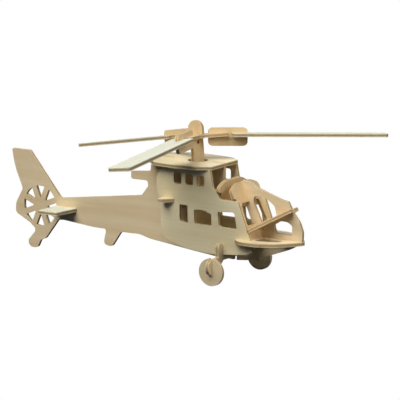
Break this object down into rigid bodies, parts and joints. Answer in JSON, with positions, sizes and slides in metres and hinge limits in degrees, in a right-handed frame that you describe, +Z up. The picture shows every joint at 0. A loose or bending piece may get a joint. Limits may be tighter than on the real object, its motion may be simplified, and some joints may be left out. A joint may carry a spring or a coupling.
{
  "type": "plywood helicopter model",
  "caption": "Slot-together plywood model helicopter with a shrouded tail fan, an open cabin of crossed plates and a main rotor that turns on its mast.",
  "frame": {"origin": "on the ground straight below the foot of the mast, midway between the two wheels sideways", "axes": "+X towards the nose, +Y to port, +Z up"},
  "size_m": [0.3185, 0.2716, 0.1286],
  "materials": {
    "plywood": "bare sanded plywood, matt, with layered edges",
    "plywood_warm": "bare sanded plywood from a warmer sheet, matt, with layered edges"
  },
  "bodies": {
    "airframe": {"keel": "plywood", "tail_fan": "plywood", "stabilizer": "plywood", "panel_right": "plywood", "panel_left": "plywood", "roof": "plywood", "cross_plate": "plywood", "arch_rear": "plywood_warm", "arch_front": "plywood_warm", "nose_visor": "plywood_warm", "nose_floor": "plywood", "gear_plate": "plywood", "wheel_right": "plywood", "wheel_left": "plywood", "mast_plate": "plywood_warm", "mast_cap": "plywood_warm"},
    "rotor": {"hub_plate": "plywood", "grip_a": "plywood_warm", "grip_b": "plywood_warm", "grip_c": "plywood_warm", "blade_a": "plywood", "blade_b": "plywood", "blade_c": "plywood"}
  },
  "joints": [
    {"name": "rotor_spin", "type": "hinge", "parent": "airframe", "child": "rotor", "pos_m": [0, 0, 0.0953], "axis": [-0.1091, 0.0361, 0.9934], "continuous": true}
  ]
}
